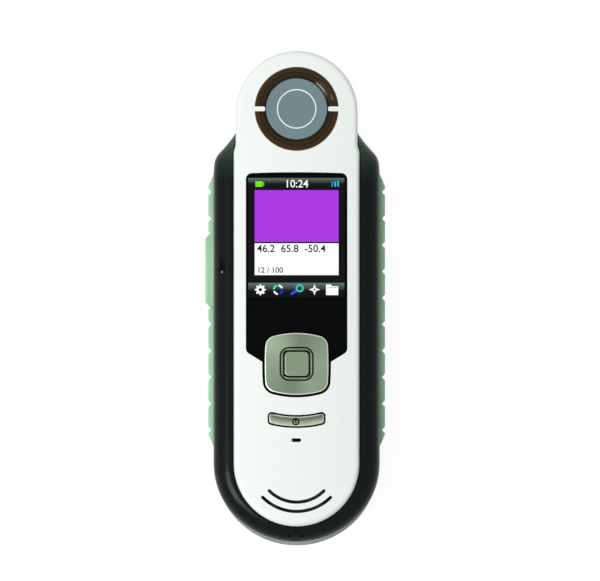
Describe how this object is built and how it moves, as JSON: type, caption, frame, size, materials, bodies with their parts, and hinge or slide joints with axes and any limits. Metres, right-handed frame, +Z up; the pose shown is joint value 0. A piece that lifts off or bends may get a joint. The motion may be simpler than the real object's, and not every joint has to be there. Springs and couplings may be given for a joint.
{
  "type": "handheld color matching device",
  "caption": "Handheld color measuring instrument with a round measuring head, color display, four way thumb pad, side grips and a battery door.",
  "frame": {"origin": "on the table under the middle of the device's length and width, with the device lying on its back", "axes": "+X across the device, +Y along it towards the round measuring head, +Z up out of the display face"},
  "size_m": [0.06, 0.165, 0.032],
  "materials": {
    "cover_white": "satin moulded",
    "frame_charcoal": "semi-gloss painted",
    "shell_grey_green": "satin moulded",
    "grip_rubber": "matte moulded rubber",
    "smoked_amber": "polished smoked",
    "disc_slate": "satin",
    "window_black": "polished, smoked",
    "display_panel": "polished",
    "nickel": "radially brushed",
    "board_green": "solder mask",
    "chip_black": "moulded",
    "inner_black": "matte moulded",
    "silicone_grey": "moulded silicone",
    "tinned_steel": "tinned",
    "contact_brass": "plated",
    "cell_wrap": "shrink wrap",
    "clear_glass": "polished",
    "tile_white": "glazed",
    "foot_rubber": "matte",
    "screw_steel": "plated",
    "flex_amber": "polyimide",
    "led_white": "moulded"
  },
  "bodies": {
    "case": {"front_cover": "cover_white", "mid_frame": "frame_charcoal", "rear_housing": "shell_grey_green", "rear_feet": "foot_rubber", "head_feet": "foot_rubber", "side_grip_right": "grip_rubber", "side_grip_left": "grip_rubber", "target_ring": "smoked_amber", "target_disc": "disc_slate", "display_window": "window_black", "display_gasket": "inner_black", "display_module": "display_panel", "front_board": "board_green", "key_domes": "tinned_steel", "keypad_mat": "silicone_grey", "microphone": "tinned_steel", "select_ring": "nickel", "speaker": "inner_black", "main_board": "board_green", "board_chips": "chip_black", "shield_can": "tinned_steel", "side_switch": "chip_black", "usb_connector": "tinned_steel", "battery_pack": "cell_wrap", "battery_contacts": "contact_brass", "optics_housing": "inner_black", "aperture_glass": "clear_glass", "led_ring_board": "board_green", "measuring_leds": "led_white", "lens_barrel": "inner_black", "camera_lens": "clear_glass", "sensor_board": "board_green", "image_sensor": "chip_black", "case_screws": "screw_steel", "front_board_screws": "screw_steel", "main_board_screws": "screw_steel", "optics_screws": "screw_steel", "sensor_flex": "flex_amber", "front_flex": "flex_amber"},
    "pad_carrier": {"nav_carrier": "inner_black"},
    "pad": {"nav_rocker": "nickel"},
    "select_button": {"select_key": "nickel"},
    "power_button": {"power_key": "nickel"},
    "record_button": {"side_key": "grip_rubber"},
    "slide": {"calibration_slide": "inner_black", "white_reference": "tile_white"},
    "door": {"battery_door": "shell_grey_green"}
  },
  "joints": [
    {"name": "pad_pitch", "type": "hinge", "parent": "case", "child": "pad_carrier", "pos_m": [0, -0.0218, 0.0275], "axis": [1, 0, 0], "range_deg": [-2.5, 2.5], "stiffness_Nm_per_rad": 0.1},
    {"name": "pad_roll", "type": "hinge", "parent": "pad_carrier", "child": "pad", "pos_m": [0, -0.0218, 0.0275], "axis": [0, 1, 0], "range_deg": [-2.5, 2.5], "stiffness_Nm_per_rad": 0.1},
    {"name": "select_press", "type": "slide", "parent": "case", "child": "select_button", "axis": [0, 0, -1], "range_m": [0, 0.0004], "stiffness_N_per_m": 800},
    {"name": "power_press", "type": "slide", "parent": "case", "child": "power_button", "axis": [0, 0, -1], "range_m": [0, 0.0004], "stiffness_N_per_m": 800},
    {"name": "record_press", "type": "slide", "parent": "case", "child": "record_button", "axis": [1, 0, 0], "range_m": [0, 0.0006], "stiffness_N_per_m": 800},
    {"name": "slide_open", "type": "slide", "parent": "case", "child": "slide", "axis": [0, -1, 0], "range_m": [0, 0.024]},
    {"name": "door_tilt", "type": "hinge", "parent": "case", "child": "door", "pos_m": [0, -0.001, 0.0019], "axis": [1, 0, 0], "range_deg": [0, 25]}
  ]
}
